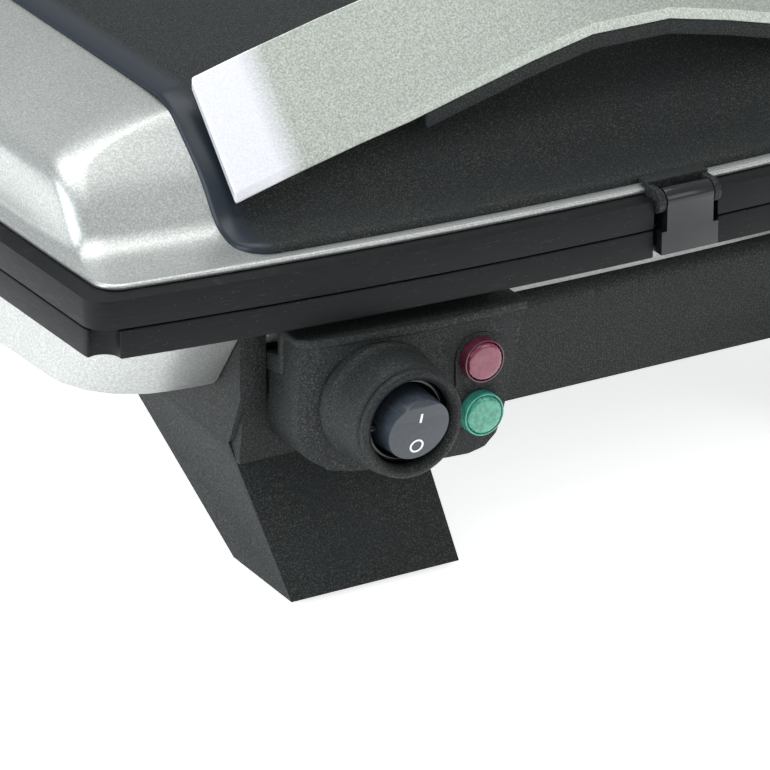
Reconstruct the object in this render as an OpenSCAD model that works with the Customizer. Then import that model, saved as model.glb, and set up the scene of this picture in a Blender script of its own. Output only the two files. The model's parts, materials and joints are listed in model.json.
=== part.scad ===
// Contact grill for pressed sandwiches: two ribbed plates, a floating rear hinge,
// a metal lid with an arched handle, and a moulded base on splayed legs.
// Depths are measured from the middle of the plates' front edge, towards the back.

/* [Plates] */
// Width of the plates at their widest
plate_w = 338; // [310:1:400]
// Depth of the plates along the centre line
plate_d = 234.5; // [205:0.5:285]
// How far the front edge bows out in the middle
front_bow = 12.5; // [6:0.5:16]
// How far each side bows out in the middle
side_bow = 2.5; // [0:0.5:5]
// Radius of the plates' front corners
corner_r = 7; // [4:0.5:10]
// Radius of the plates' rear corners
rear_corner_r = 16; // [8:1:24]
// Thickness of each plate's rim
plate_t = 7.8; // [6.5:0.1:10]
// Gap between the closed rims
rim_gap = 0.4; // [0.3:0.1:1]
// Width of the flat rim around the cooking face
rim_w = 11; // [8:0.5:15]
// Depth of the cooking face below the rim
recess_t = 3.2; // [2:0.1:4]
// Distance from one rib to the next
rib_pitch = 10; // [8:0.5:14]
// Width of a rib
rib_w = 4; // [2.5:0.5:5]
// Height of a rib
rib_h = 2.2; // [1:0.1:2.4]
// Height of the lower plate's underside above the table
plate_z = 76; // [72:0.5:92]

/* [Heaters] */
// Diameter of the tubular heaters
heater_dia = 6.5; // [5:0.5:8]
// Distance between the two long runs of a heater
heater_run_gap = 120; // [90:5:140]
// Clearance of a heater in its clips
heater_clearance = 0.15; // [0.1:0.05:0.3]

/* [Lid] */
// How far the lid stands in from the edge of the plates
lid_inset = 5.5; // [4:0.5:8]
// Height of the lid's top above its flange
lid_h = 30; // [24:1:36]
// Wall thickness of the lid
lid_wall = 1.8; // [1.2:0.1:2.5]
// Half width of the panel let into the lid
panel_half = 122; // [105:1:125]
// Thickness of the panel
panel_t = 1.2; // [1:0.1:3]

/* [Handle] */
// Distance from the plates' front edge back to the handle's front edge
handle_set_back = 28; // [26:0.5:34]
// Depth of the handle's band, front to back
handle_d = 23; // [18:0.5:28]
// Slope of the handle's band
handle_tilt = 46; // [40:1:52]
// Half width of the handle
handle_half = 118; // [100:1:120]
// Rise of the handle's underside at its middle
handle_rise = 26; // [20:1:30]
// Thickness of the handle's cover
handle_t = 2.4; // [2.2:0.1:4]
// Diameter of the handle's screws
handle_screw_dia = 4; // [3:0.5:5]

/* [Base] */
// Thickness of the rubber feet
foot_t = 2; // [1:0.5:4]
// Width of a leg where it meets the table
leg_w = 50; // [40:1:60]
// Distance from the centre line to a leg's outer side at the table
leg_out = 117; // [100:1:125]
// Depth of a leg where it meets the table
leg_d = 31; // [24:1:36]
// Height at which the legs meet the beams
leg_top = 38.7; // [34:0.1:44]
// How far the beams stand in from the plates' front and rear edges
beam_set_back = 24.5; // [22:0.5:30]
// Height of the beams' underside
beam_low = 32.5; // [28:0.5:36]
// Height of the beams' top
beam_high = 61.6; // [58:0.1:62]
// Wall thickness of the beams
beam_wall = 5; // [3:0.5:6]
// Wall thickness of the lower housing
housing_wall = 1.6; // [1.2:0.1:2.5]
// How far the lower housing stands in from the edge of the plates
housing_inset = 11; // [10.5:0.5:14]
// Height of the lower housing's underside, beside the frames
housing_low = 49; // [47:0.5:52]
// Radius of the lower housing's corners
housing_r = 23; // [16:1:26]
// Height of the floor of the lower housing, between the frames
floor_z = 59.2; // [58.8:0.1:59.6]
// Height of the bottom tray's floor
tray_low = 41; // [40:0.5:46]
// Wall thickness of the bottom tray
tray_wall = 2.5; // [2:0.1:3.5]

/* [Controls] */
// Distance from the centre line to the control box's middle
box_x = 80; // [72:1:86]
// Width of the control box
box_w = 63; // [58:1:70]
// Height of the control box's underside
box_low = 33; // [30:0.5:38]
// Height of the seam under the control box's cover
box_high = 70; // [68:0.5:71]
// Wall thickness of the control box
box_wall = 2.5; // [2:0.1:3]
// Thickness of the control box's cover
cover_t = 2.5; // [2:0.1:3]
// Distance from the box's outer side to the switch axis
switch_in = 20.5; // [19:0.5:24]
// Height of the switch axis
switch_z = 52.8; // [50:0.1:55]
// Outer diameter of the switch collar
collar_dia = 29.5; // [27:0.5:32]
// How far the collar stands in front of the plates
collar_reach = 15.5; // [10:0.5:18]
// Outer diameter of the switch's bezel
bezel_dia = 23; // [22:0.5:24]
// Diameter of the rocker
rocker_dia = 18.6; // [17.6:0.1:19]
// How far the raised half of the rocker stands out of the collar
rocker_proud = 5.1; // [3:0.1:5.5]
// Gap between the rocker and its bezel
rocker_gap = 0.6; // [0.5:0.1:1]
// Diameter of a lamp's lens
lamp_dia = 11.8; // [11:0.1:13]
// Distance between the two lamps
lamp_pitch = 15; // [14:0.5:16]
// Distance from the switch axis to the lamps
lamp_in = 28.2; // [28:0.1:30]
// Height of the middle between the two lamps
lamp_z = 52.2; // [50:0.1:53]
// Diameter of the rocker's pivot pin
rocker_pin_dia = 2; // [1.5:0.1:2.5]

/* [Latch] */
// Width of the latch's hook
latch_w = 17.4; // [15:0.2:19]
// Width of the latch's barrel
latch_barrel_w = 14.2; // [12:0.2:15]
// Thickness of the latch's lever
latch_t = 5; // [4:0.2:6]
// Radius of the latch's barrel
latch_r = 3.2; // [2.8:0.1:3.6]
// Diameter of the latch's pin
latch_pin_dia = 2.5; // [2:0.1:3]
// Depth of the notch in the plates for the latch
notch_d = 7; // [6:0.5:9]
// Gap beside the latch and its ears
latch_gap = 0.4; // [0.3:0.1:0.8]

/* [Hinge] */
// Distance of the hinge rod behind the plates
hinge_back = 26; // [25:0.5:32]
// Height of the hinge rod
hinge_z = 89; // [86:0.5:96]
// Diameter of the hinge rod
rod_dia = 8; // [6:0.5:10]
// Radial clearance of the rod in the lid's arms
rod_clearance = 0.05; // [0.02:0.01:0.1]
// Clearance of the rod in the bracket slots
slot_clearance = 0.3; // [0.2:0.05:0.5]
// How far the rod can rise in its slots
float_travel = 15; // [10:1:20]
// Distance from the centre line to each bracket
bracket_x = 88; // [80:1:95]
// Thickness of a bracket
bracket_t = 12; // [10:0.5:14]
// Radius of the bracket around the rod
bracket_r = 9; // [8:0.5:11]
// Width of each of the lid's arms
arm_w = 18; // [12:1:22]
// Diameter of the arms' and frames' screws
screw_dia = 3.2; // [2.5:0.1:4]

/* [Power inlet] */
// Bore of the cord gland
gland_bore = 7.2; // [6:0.1:8]
// Outer diameter of the gland's neck
gland_neck = 12; // [10:0.5:14]
// Distance from the centre line to the gland
gland_x = 40; // [20:1:50]
// Height of the gland
gland_z = 51.5; // [50:0.1:52.5]

/* [Hidden] */
$fn = 64;

black = "#2b2d2e";
silver = "#b9b9b4";
steel = "#8f9396";

switch_reach = collar_reach + rocker_proud;
hinge_reach = hinge_back + bracket_r;
total_d = plate_d + switch_reach + hinge_reach;
front_y = -total_d / 2 + switch_reach;
rear_y = front_y + plate_d;
rod_y = rear_y + hinge_back;
half_w = plate_w / 2;
upper_z = plate_z + plate_t + rim_gap;
lid_z = upper_z + plate_t;
fillet_steps = 5;
front_steps = 14;
side_steps = 4;

// ---- outlines and lofts ----

function unit(v) = v / norm(v);
function mix(a, b, t) = a + (b - a) * t;

// y of the bowed front edge at x, moved back by inset
function front_at(x, inset = 0) = front_y + inset + front_bow * pow(x / half_w, 2);

// half width of the plates at y, less inset
function side_at(y, inset = 0) =
    half_w - inset - side_bow * pow((y - front_y - plate_d / 2) / (plate_d / 2), 2);

// arc of radius r that rounds the corner at b between a and c
function round_corner(a, b, c, r) =
    let (u = unit(a - b), w = unit(c - b), half = acos(u * w) / 2,
         m = b + unit(u + w) * r / sin(half),
         p = b + u * r / tan(half) - m, q = b + w * r / tan(half) - m)
    [for (i = [0:fillet_steps]) m + r * unit(mix(p, q, i / fillet_steps))];

function flip(points) = [for (i = [len(points) - 1:-1:0]) [-points[i].x, points[i].y]];

// plate outline, counterclockwise, with its own inset at the front, sides and rear
function outline(front_in, side_in, rear_in, front_r, rear_r) =
    let (corner_x = side_at(front_at(half_w), side_in),
         corner = [corner_x, front_at(corner_x, front_in)],
         rear_corner = [side_at(rear_y, side_in), rear_y - rear_in],
         front = [for (i = [1:front_steps - 1])
                  let (x = mix(-corner_x, corner_x, i / front_steps)) [x, front_at(x, front_in)]],
         side = [for (i = [1:side_steps - 1])
                 let (y = mix(corner.y, rear_corner.y, i / side_steps)) [side_at(y, side_in), y]],
         front_arc = round_corner(front[front_steps - 2], corner, side[0], front_r),
         rear_arc = round_corner(side[side_steps - 2], rear_corner, [0, rear_corner.y], rear_r))
    concat(front, front_arc, side, rear_arc, flip(rear_arc), flip(side), flip(front_arc));

function ring(points, z) = [for (p = points) [p.x, p.y, z]];

// closed solid through a list of rings with the same number of points
module loft(rings, capped = true) {
    n = len(rings[0]);
    m = len(rings);
    last = capped ? m - 2 : m - 1;
    sides = [for (k = [0:last], i = [0:n - 1])
             let (j = (i + 1) % n, a = k * n, b = ((k + 1) % m) * n)
             each [[a + i, b + i, b + j], [a + i, b + j, a + j]]];
    caps = capped ? [[for (i = [0:n - 1]) i], [for (i = [n - 1:-1:0]) (m - 1) * n + i]] : [];
    polyhedron([for (r = rings) each r], concat(sides, caps));
}

module along_x(from, to) {
    translate([from, 0, 0]) rotate([90, 0, 90]) linear_extrude(to - from) children();
}

module both_sides() {
    children();
    mirror([1, 0, 0]) children();
}

// turned round to the rear when i is 1
module mirror_depth(i) {
    translate([0, i * (front_y + rear_y), 0]) mirror([0, i, 0]) children();
}

module rod_x(from, to, dia) {
    translate([from, 0, 0]) rotate([0, 90, 0]) cylinder(h = to - from, d = dia);
}

// cylinder that runs back (+Y) from y
module rod_y(from, to, dia, dia_end) {
    translate([0, from, 0]) rotate([-90, 0, 0])
        cylinder(h = to - from, d1 = dia, d2 = is_undef(dia_end) ? dia : dia_end);
}

// a screw standing on its thread end, with a round head of twice its diameter
module screw(dia, length, head) {
    cylinder(h = length, d = dia);
    translate([0, 0, length]) cylinder(h = head, d = dia * 2);
}

// ---- plates ----

module plate_outline(inset = 0) {
    polygon(outline(inset, inset, inset, max(corner_r - inset / 2, 2), max(rear_corner_r - inset, 4)));
}

// slot in the front edge that the latch hangs in
notch_half = latch_w / 2 + 1.1;
notch_y = front_y + notch_d;

module latch_notch(z, h) {
    translate([-notch_half, front_y - 5, z - 1]) cube([2 * notch_half, notch_d + 5, h + 2]);
}

module ribs(z, h) {
    count = floor((half_w - rim_w - rib_w) / rib_pitch);
    first = front_y + front_bow + rim_w - 1;
    for (i = [-count:count])
        translate([i * rib_pitch - rib_w / 2, first, z])
            cube([rib_w, rear_y - rim_w - first - 3, h]);
}

boss_x = half_w - 45;
boss_front = 50;
boss_rear = plate_d - 47;
boss_dia = 10;
boss_h = 8;
screw_head = 2;

module at_bosses() {
    for (x = [-boss_x, boss_x], d = [boss_front, boss_rear])
        translate([x, front_y + d, 0]) children();
}

corner_notch_r = 4.5;

module lower_plate() {
    color(black) difference() {
        union() {
            translate([0, 0, plate_z]) linear_extrude(plate_t - recess_t) plate_outline();
            translate([0, 0, plate_z + plate_t - recess_t]) linear_extrude(recess_t) difference() {
                plate_outline();
                plate_outline(rim_w);
            }
            intersection() {
                ribs(plate_z + plate_t - recess_t - 1, rib_h + 1);
                translate([0, 0, plate_z]) linear_extrude(plate_t) plate_outline(rim_w);
            }
            at_bosses() translate([0, 0, plate_z - boss_h]) cylinder(h = boss_h + 1, d = boss_dia);
        }
        latch_notch(plate_z, plate_t);
        at_bosses() translate([0, 0, plate_z - boss_h - 1]) cylinder(h = boss_h + 1, d = screw_dia);
        both_sides() translate([side_at(front_at(half_w)) - 2.5, front_at(half_w) - 0.5, plate_z - 1])
            cylinder(h = plate_t + 2, r = corner_notch_r);
    }
}

module upper_plate() {
    color(black) difference() {
        union() {
            translate([0, 0, upper_z + recess_t]) linear_extrude(plate_t - recess_t) plate_outline();
            translate([0, 0, upper_z]) linear_extrude(recess_t) difference() {
                plate_outline();
                plate_outline(rim_w);
            }
            intersection() {
                ribs(upper_z + recess_t - rib_h, rib_h + 1);
                translate([0, 0, upper_z]) linear_extrude(plate_t) plate_outline(rim_w);
            }
        }
        latch_notch(upper_z, plate_t);
        at_arm_screws() translate([0, 0, lid_z - arm_screw_deep]) cylinder(h = plate_t, d = screw_dia);
    }
}

// ---- heaters ----

heater_half = plate_w / 2 - 60;
heater_mid_d = plate_d / 2 + 4;
heater_turn_r = 12;
clip_wall = 3;

// U-shaped tube: two long runs joined at one side, with both ends turned towards the middle
module heater(z) {
    y = front_y + heater_mid_d;
    run = heater_run_gap / 2;
    translate([0, y, z]) {
        for (s = [-1, 1]) translate([0, s * run, 0])
            rod_x(-heater_half, heater_half - heater_turn_r, heater_dia);
        translate([heater_half, 0, 0])
            rod_y(heater_turn_r - run, run - heater_turn_r, heater_dia);
        for (s = [-1, 1]) translate([heater_half - heater_turn_r, s * (run - heater_turn_r), 0])
            rotate([0, 0, s > 0 ? 0 : -90])
                rotate_extrude(angle = 90) translate([heater_turn_r, 0]) circle(d = heater_dia);
    }
}

clip_h = heater_dia + 2;

module heater_clips(z) {
    y = front_y + heater_mid_d;
    for (x = [-70, 70], s = [-1, 1])
        translate([x, y + s * heater_run_gap / 2, z]) difference() {
            translate([-5, -heater_dia / 2 - clip_wall, -clip_h / 2])
                cube([10, heater_dia + 2 * clip_wall, clip_h]);
            rod_x(-6, 6, heater_dia + 2 * heater_clearance);
        }
}

lower_heater_z = plate_z - clip_h / 2;
upper_heater_z = lid_z + clip_h / 2;

module lower_heater() {
    color(steel) heater(lower_heater_z);
}

module upper_heater() {
    color(steel) heater(upper_heater_z);
}

module lower_heater_clips() {
    color("silver") heater_clips(lower_heater_z);
}

module upper_heater_clips() {
    color("silver") heater_clips(upper_heater_z);
}

shield_t = 0.8;
shield_half = half_w - 40;
shield_front = 50;
shield_rear = 40;

module heat_shield(z) {
    translate([-shield_half, front_y + shield_front, z])
        cube([2 * shield_half, plate_d - shield_front - shield_rear, shield_t]);
}

module lower_heat_shield() {
    color("lightgray") difference() {
        heat_shield(plate_z - clip_h - shield_t);
        at_bosses() translate([0, 0, plate_z - 20]) cylinder(h = 30, d = boss_dia + 1);
    }
}

module upper_heat_shield() {
    color("lightgray") heat_shield(lid_z + clip_h);
}

// ---- frames ----

leg_flare = 3.1;
leg_inner_flare = 1;
leg_lean = 27.7;
leg_face = 29.6;
brace_rear = 79.5;
brace_z = 30;
rail_rear = 93.5;
rail_t = 13;
beam_half = leg_out + leg_flare - 0.5;
beam_taper = 2.6;
beam_round = 4;
beam_lip = 6.5;
upright_face = 22.7;
upright_foot = 51.5;
upright_corner_r = 5;
upright_in = 7.7;
upright_top = 73.6;
seat_front = 34;

// side view of a leg: depth and height
function leg_side() = [for (p = [[leg_face - leg_lean, foot_t], [leg_face - leg_lean + leg_d, foot_t],
                                 [brace_rear, brace_z], [rail_rear, leg_top], [leg_face - 1, leg_top],
                                 [leg_face, leg_top - 1.8]]) [front_y + p.x, p.y]];

module leg() {
    intersection() {
        along_x(-leg_out - 10, 0) polygon(leg_side());
        translate([0, front_y + plate_d / 2, 0]) rotate([90, 0, 0]) linear_extrude(plate_d)
            polygon([[-leg_out, foot_t], [-leg_out + leg_w, foot_t],
                     [-leg_out + leg_w + leg_inner_flare, leg_top], [-leg_out - leg_flare, leg_top]]);
    }
    translate([-leg_out - leg_flare, front_y + leg_face, leg_top - 1])
        cube([rail_t, rail_rear - leg_face, floor_z - leg_top + 1]);
    upright();
}

// post at the end of a beam that reaches up to the plate, with its outer top corner rounded
module upright() {
    intersection() {
        along_x(-leg_out - leg_flare, -leg_out - leg_flare + upright_in) polygon([for (p =
            [[upright_face, upright_foot], [leg_face - 1, leg_top - 1], [seat_front - 0.5, leg_top - 1],
             [seat_front - 0.5, upright_top], [upright_face, upright_top]]) [front_y + p.x, p.y]]);
        translate([-leg_out - leg_flare, 0, 0]) rotate([90, 0, 0]) linear_extrude(2 * total_d, center = true) {
            square([upright_in, upright_top - upright_corner_r]);
            translate([upright_corner_r, 0]) square([upright_in - upright_corner_r, upright_top]);
            translate([upright_corner_r, upright_top - upright_corner_r]) circle(r = upright_corner_r);
        }
    }
}

// quarter round on the outer top edge of a beam, from its face to its top
function beam_nose() = [for (i = [0:6]) let (t = 90 * i / 6)
    [front_y + beam_set_back + beam_round * (1 - cos(t)), beam_high - beam_round * (1 - sin(t))]];

module beam() {
    face = front_y + beam_set_back;
    top_half = beam_half - beam_taper;
    intersection() {
        along_x(-beam_half, beam_half) polygon(concat([[face, beam_low]], beam_nose(),
            [[face + beam_lip, beam_high], [face + beam_lip, beam_high - beam_round],
             [face + beam_wall, beam_high - beam_round], [face + beam_wall, beam_low]]));
        rotate([90, 0, 0]) linear_extrude(2 * total_d, center = true)
            polygon([[-beam_half, beam_low], [beam_half, beam_low],
                     [top_half, beam_high], [-top_half, beam_high]]);
    }
}

module frame() {
    both_sides() leg();
    beam();
}

screw_sink = 4;

// screw hole through a rail, widened below so that the head is sunk
module frame_screw_hole() {
    cylinder(h = leg_top + screw_sink, d = screw_dia * 2 + 0.6);
    cylinder(h = floor_z + 1, d = screw_dia);
}

module front_frame() {
    color(black) difference() {
        frame();
        at_frame_screws() frame_screw_hole();
    }
}

// the rear frame is the front one turned round, with holes for the gland and the hinge
module turned() {
    mirror_depth(1) children();
}

module rear_frame() {
    color(black) difference() {
        turned() frame();
        turned() at_frame_screws() frame_screw_hole();
        translate([gland_x, 0, gland_z])
            rod_y(rear_y - beam_set_back - beam_lip - 1, rear_y - beam_set_back + 1, gland_neck);
        at_bracket_screws() rod_y(-beam_wall - 1, 1, screw_dia);
    }
}

frame_screw_x = leg_out + leg_flare - rail_t / 2;
frame_screw_d = [45, 82];

module at_frame_screws() {
    for (x = [-frame_screw_x, frame_screw_x], d = frame_screw_d)
        translate([x, front_y + d, 0]) children();
}

module frame_screw() {
    translate([0, 0, leg_top + screw_sink - screw_head]) {
        cylinder(h = screw_head, d = screw_dia * 2);
        cylinder(h = floor_z - leg_top - screw_sink + screw_head, d = screw_dia);
    }
}

module frame_screws() {
    color(steel) {
        at_frame_screws() frame_screw();
        turned() at_frame_screws() frame_screw();
    }
}

pad_inset = 4;

module foot_pad() {
    translate([-leg_out + pad_inset, front_y + leg_face - leg_lean + pad_inset, 0])
        cube([leg_w - 2 * pad_inset, leg_d - 2 * pad_inset, foot_t]);
}

module foot_pads() {
    color("#1c1c1c") {
        both_sides() foot_pad();
        turned() both_sides() foot_pad();
    }
}

// ---- lower housing and tray ----

// The housing is a bowl under the plate. It sits between the frames, and hangs lower outside them.
bowl_steps = 12;
bowl_round_h = 4.5;
bowl_front_slope = 0.73;
bowl_front_round = 6;
bowl_side_round = 19;

// share of a quarter ellipse's width at height z, 0 above the rounded bottom edge and 1 at the bottom
function bottom_round(z) =
    let (drop = housing_low + bowl_round_h - z) drop <= 0 ? 0 : 1 - sqrt(1 - pow(drop / bowl_round_h, 2));

function bowl_z(i) = i < 5 ? mix(plate_z, housing_low + bowl_round_h, i / 5)
    : housing_low + bowl_round_h * (1 - sin((i - 5) / (bowl_steps - 5) * 90));

// front inset, side inset and height of the bowl's level i, counted from the rim
function bowl_level(i) =
    let (z = bowl_z(i), q = bottom_round(z))
    [bowl_front_slope * (plate_z - z) + bowl_front_round * q, bowl_side_round * q, z];

// ring of the bowl at level i, moved in by a wall
function bowl_ring(i, wall) =
    let (l = bowl_level(i), z = i == 0 ? plate_z + (wall > 0 ? 1 : 0) : l.z + wall)
    ring(outline(housing_inset + l[0] + wall, housing_inset + l[1] + wall, housing_inset + l[0] + wall,
                 housing_r, housing_r), z);

module bowl(wall) {
    loft([for (i = [bowl_steps:-1:0]) bowl_ring(i, wall)]);
}

seat_gap = 0.3;
seat_half = leg_out + leg_flare + seat_gap;
seat_ceiling = 66;
// the control box's cover steps down behind this depth
step_d = 17.5;

// side view of the room for a frame's beam: it falls towards the back, down to the floor
function seat_side(lift) =
    [for (p = [[-1, 0], [-1, seat_ceiling + lift], [20, seat_ceiling + lift],
               [seat_front, beam_high + seat_gap + 0.4 + lift], [seat_front, 0]]) [front_y + p.x, p.y]];

// room that the frames, the tray and the control box take out of the bowl, grown by the housing's wall
module seats(wall) {
    half = seat_half + wall;
    translate([-half, front_y, 0]) cube([2 * half, plate_d, floor_z + wall]);
    for (i = [0, 1]) mirror_depth(i) {
        along_x(-half, half) polygon(seat_side(wall));
        both_sides() translate([-half, front_y, 0])
            cube([upright_in + 2 * seat_gap + 2 * wall, seat_front + wall, upright_top + seat_gap + wall]);
    }
    translate([-box_x - box_w / 2 - 1 - wall, front_y, 0])
        cube([box_w + 2 + 2 * wall, step_d + seat_gap + wall, box_high + cover_t + seat_gap + wall]);
}

tray_half = 100;
tray_front = 42;
tray_gap = 3;
tray_rear = plate_d - beam_set_back - beam_wall - tray_gap;
tray_lip = 6;

module lower_housing() {
    color(silver) difference() {
        bowl(0);
        seats(0);
        difference() {
            bowl(housing_wall);
            seats(housing_wall);
        }
        linear_extrude(plate_z) tray_plan(tray_lip);
    }
}

module tray_plan(inset) {
    translate([-tray_half + inset, front_y + tray_front + inset])
        square([2 * (tray_half - inset), tray_rear - tray_front - 2 * inset]);
}

module bottom_tray() {
    color(black) difference() {
        union() {
            translate([0, 0, tray_low]) linear_extrude(floor_z - tray_low) difference() {
                tray_plan(0);
                tray_plan(tray_wall);
            }
            translate([0, 0, tray_low]) linear_extrude(tray_wall) tray_plan(0);
        }
        for (i = [-4:4]) translate([i * 12 - 2, front_y + 90, tray_low - 1]) cube([4, 50, tray_wall + 2]);
        translate([gland_x, 0, gland_z])
            rod_y(front_y + tray_rear - tray_wall - 1, front_y + tray_rear + 1, gland_neck);
    }
}

module plate_screws() {
    color(steel) at_bosses() translate([0, 0, plate_z - boss_h - screw_head]) {
        cylinder(h = screw_head, d = screw_dia * 2);
        cylinder(h = screw_head + boss_h - 1, d = screw_dia);
    }
}

// ---- controls ----

switch_x = -box_x - box_w / 2 + switch_in;
lamp_x = switch_x + lamp_in;

// plan of the control box: bowed front, straight back against the beam
function box_plan(grow) =
    let (l = -box_x - box_w / 2 - grow, r = -box_x + box_w / 2 + grow, g = front_y - grow)
    [[l, front_y + beam_set_back], [l, g + 8], [l + 3.4, g + 4.8], [l + 15, g + 2.6], [l + 28, g + 0.9],
     [l + 40, g + 0.1], [l + 49, g], [r, g + 0.7], [r, front_y + beam_set_back]];

// front view of the control box, narrower below, less a wall
function box_front(inset) =
    let (l = -box_x - box_w / 2 + inset, r = -box_x + box_w / 2 - inset, low = box_low + inset)
    [[l, box_high], [l, low + 12], [l + 2, low + 6], [l + 7, low + 2.5], [l + 14, low + 1.2],
     [r - 17, low], [r - 12, low + 1], [r - 8.5, low + 4], [r - 6.5, low + 9], [r, box_high]];

leg_slope = (leg_top - 1.8 - foot_t) / leg_lean;
leg_gap = 0.3;
// the cover and the box step down behind this depth, under the lower housing
step_top = 64.6;
step_seam = 59.6;
step_fall = 1.4;

// side view of the box, in front of the leg, the beam and the lower housing, less a wall
function box_side(inset) =
    let (back = beam_set_back + (inset > 0 ? 1 : 0), low = box_low - 2)
    [for (p = [[-5, low], [-5, box_high - inset], [step_d - cover_t - inset, box_high - inset],
               [step_d - cover_t - inset, step_seam - inset], [back, step_seam - step_fall - inset],
               [back, leg_top - 1.8 - (leg_face - leg_gap - back) * leg_slope],
               [leg_face - leg_gap - (leg_top - 1.8 - low) / leg_slope, low]]) [front_y + p.x, p.y]];

module box_solid(inset) {
    intersection() {
        linear_extrude(box_high) polygon(inset > 0 ? [for (p = box_plan(-inset))
            [p.x, p.y + (p.y > front_y + beam_set_back - 1 ? 1 : 0)]] : box_plan(0));
        translate([0, front_y + plate_d / 2, 0]) rotate([90, 0, 0]) linear_extrude(plate_d / 2 + 10)
            polygon(box_front(inset));
        along_x(-half_w, 0) polygon(box_side(inset));
    }
}

fit_gap = 0.1;
collar_root_dia = collar_dia + 2.6;
lamp_hole_dia = lamp_dia - 2.4;

module at_lamps() {
    for (s = [-1, 1]) translate([lamp_x, 0, lamp_z + s * lamp_pitch / 2]) children();
}

pad_t = 0.6;
pad_rim = 1.1;
lamp_face_y = front_y - pad_t;

// raised oblong pad around both lamps
module lamp_pad() {
    at_lamps() rod_y(lamp_face_y, front_y + 1, lamp_dia + 2 * pad_rim);
    translate([lamp_x - lamp_dia / 2 - pad_rim, lamp_face_y, lamp_z - lamp_pitch / 2])
        cube([lamp_dia + 2 * pad_rim, pad_t + 1, lamp_pitch]);
}

module control_box() {
    color(black) difference() {
        union() {
            box_solid(0);
            translate([switch_x, 0, switch_z])
                rod_y(front_y - collar_reach, front_y + 6, collar_dia, collar_root_dia);
            lamp_pad();
        }
        box_solid(box_wall);
        translate([switch_x, 0, switch_z])
            rod_y(front_y - collar_reach - 1, front_y + 8, bezel_dia + fit_gap);
        at_lamps() rod_y(front_y - 5, front_y + 8, lamp_hole_dia + fit_gap);
    }
}

// side view of the cover: a flat top, a step down, and a tongue that runs back to the beam
function cover_side() = [for (p = [[-5, box_high], [-5, box_high + cover_t], [step_d, box_high + cover_t],
    [step_d, step_top], [beam_set_back, step_top - step_fall], [beam_set_back, step_seam - step_fall],
    [step_d - cover_t, step_seam], [step_d - cover_t, box_high]]) [front_y + p.x, p.y]];

module control_cover() {
    color(black) intersection() {
        linear_extrude(box_high + 10) polygon(box_plan(0.6));
        along_x(-half_w, 0) polygon(cover_side());
    }
}

bezel_back = front_y + 6;
bezel_front = front_y - collar_reach + 1.5;
bezel_bore = rocker_dia + 2 * rocker_gap;

module switch_bezel() {
    color(black) translate([switch_x, 0, switch_z]) difference() {
        rod_y(bezel_front, bezel_back, bezel_dia);
        rod_y(bezel_front - 1, bezel_back + 1, bezel_bore);
        translate([0, rocker_y, 0]) rod_x(-bezel_dia, bezel_dia, rocker_pin_dia);
    }
}

// pivot of the rocker, held in the bezel's sides
module rocker_pin() {
    half = bezel_dia / 2 - 0.3;
    color(black) translate([switch_x, rocker_y, switch_z]) rod_x(-half, half, rocker_pin_dia);
}

module_d = 6;
module_dia = 15;

module switch_module() {
    color("#3a3a3a") translate([switch_x, 0, switch_z]) {
        rod_y(bezel_back - 4, bezel_back, bezel_bore - fit_gap);
        rod_y(bezel_back, bezel_back + module_d, module_dia);
        for (z = [-6, -2, 2]) translate([-0.4, bezel_back + module_d, z - 1.4]) cube([0.8, 5, 2.8]);
    }
}

pivot_back = 4;
rocker_ahead = rocker_proud + pivot_back;
rocker_y = front_y - switch_reach + rocker_ahead;
rocker_back = 2.5;
rocker_taper = 1.6;
rocker_stem_dia = 7;
pin_gap = 0.05;

// raised at the top and pressed in at the bottom: the off position
module rocker() {
    r = rocker_dia / 2;
    color("#1a1a1a") translate([switch_x, 0, switch_z]) difference() {
        union() {
            intersection() {
                rod_y(rocker_y - rocker_ahead, rocker_y + rocker_back, rocker_dia - rocker_taper, rocker_dia);
                along_x(-r, r) translate([rocker_y, 0]) polygon([
                    [rocker_back, -r - 1], [-pivot_back - 0.4, -r - 1], [-pivot_back - 1.4, -5.3],
                    [-pivot_back - 3.6, 3.1], [-rocker_ahead, r - 2.2], [-rocker_ahead + 0.8, r - 1],
                    [0, r + 1], [rocker_back, r + 1]]);
            }
            rod_y(rocker_y + rocker_back - 1, rocker_y + rocker_back + 3, rocker_stem_dia);
        }
        translate([0, rocker_y, 0]) rod_x(-rocker_dia, rocker_dia, rocker_pin_dia + 2 * pin_gap);
    }
}

lamp_neck = 5.5;

module lamp_lens(z) {
    translate([lamp_x, 0, lamp_z + z]) intersection() {
        union() {
            rod_y(lamp_face_y - 3.5, lamp_face_y, lamp_dia);
            rod_y(lamp_face_y - 1, lamp_face_y + lamp_neck, lamp_hole_dia);
        }
        translate([0, lamp_face_y + 6, 0]) sphere(d = 22);
    }
}

module red_lamp_lens() {
    color("#7a1028") lamp_lens(lamp_pitch / 2);
}

module green_lamp_lens() {
    color("#0f6b56") lamp_lens(-lamp_pitch / 2);
}

module lamp_holders() {
    color("ivory") at_lamps()
        rod_y(lamp_face_y + lamp_neck, lamp_face_y + lamp_neck + 4.5, lamp_hole_dia - 5);
}

// ---- latch ----

pin_y = front_y + 1;
pin_z = lid_z - 0.5;
ear_w = notch_half - latch_gap - (latch_barrel_w / 2 + latch_gap);

module latch_pin() {
    color(steel) translate([0, pin_y, pin_z])
        rod_x(-notch_half + latch_gap, notch_half - latch_gap, latch_pin_dia);
}

block_front = pin_y + latch_r + latch_gap;
block_rear = front_y + lid_inset + 3.3;

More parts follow.
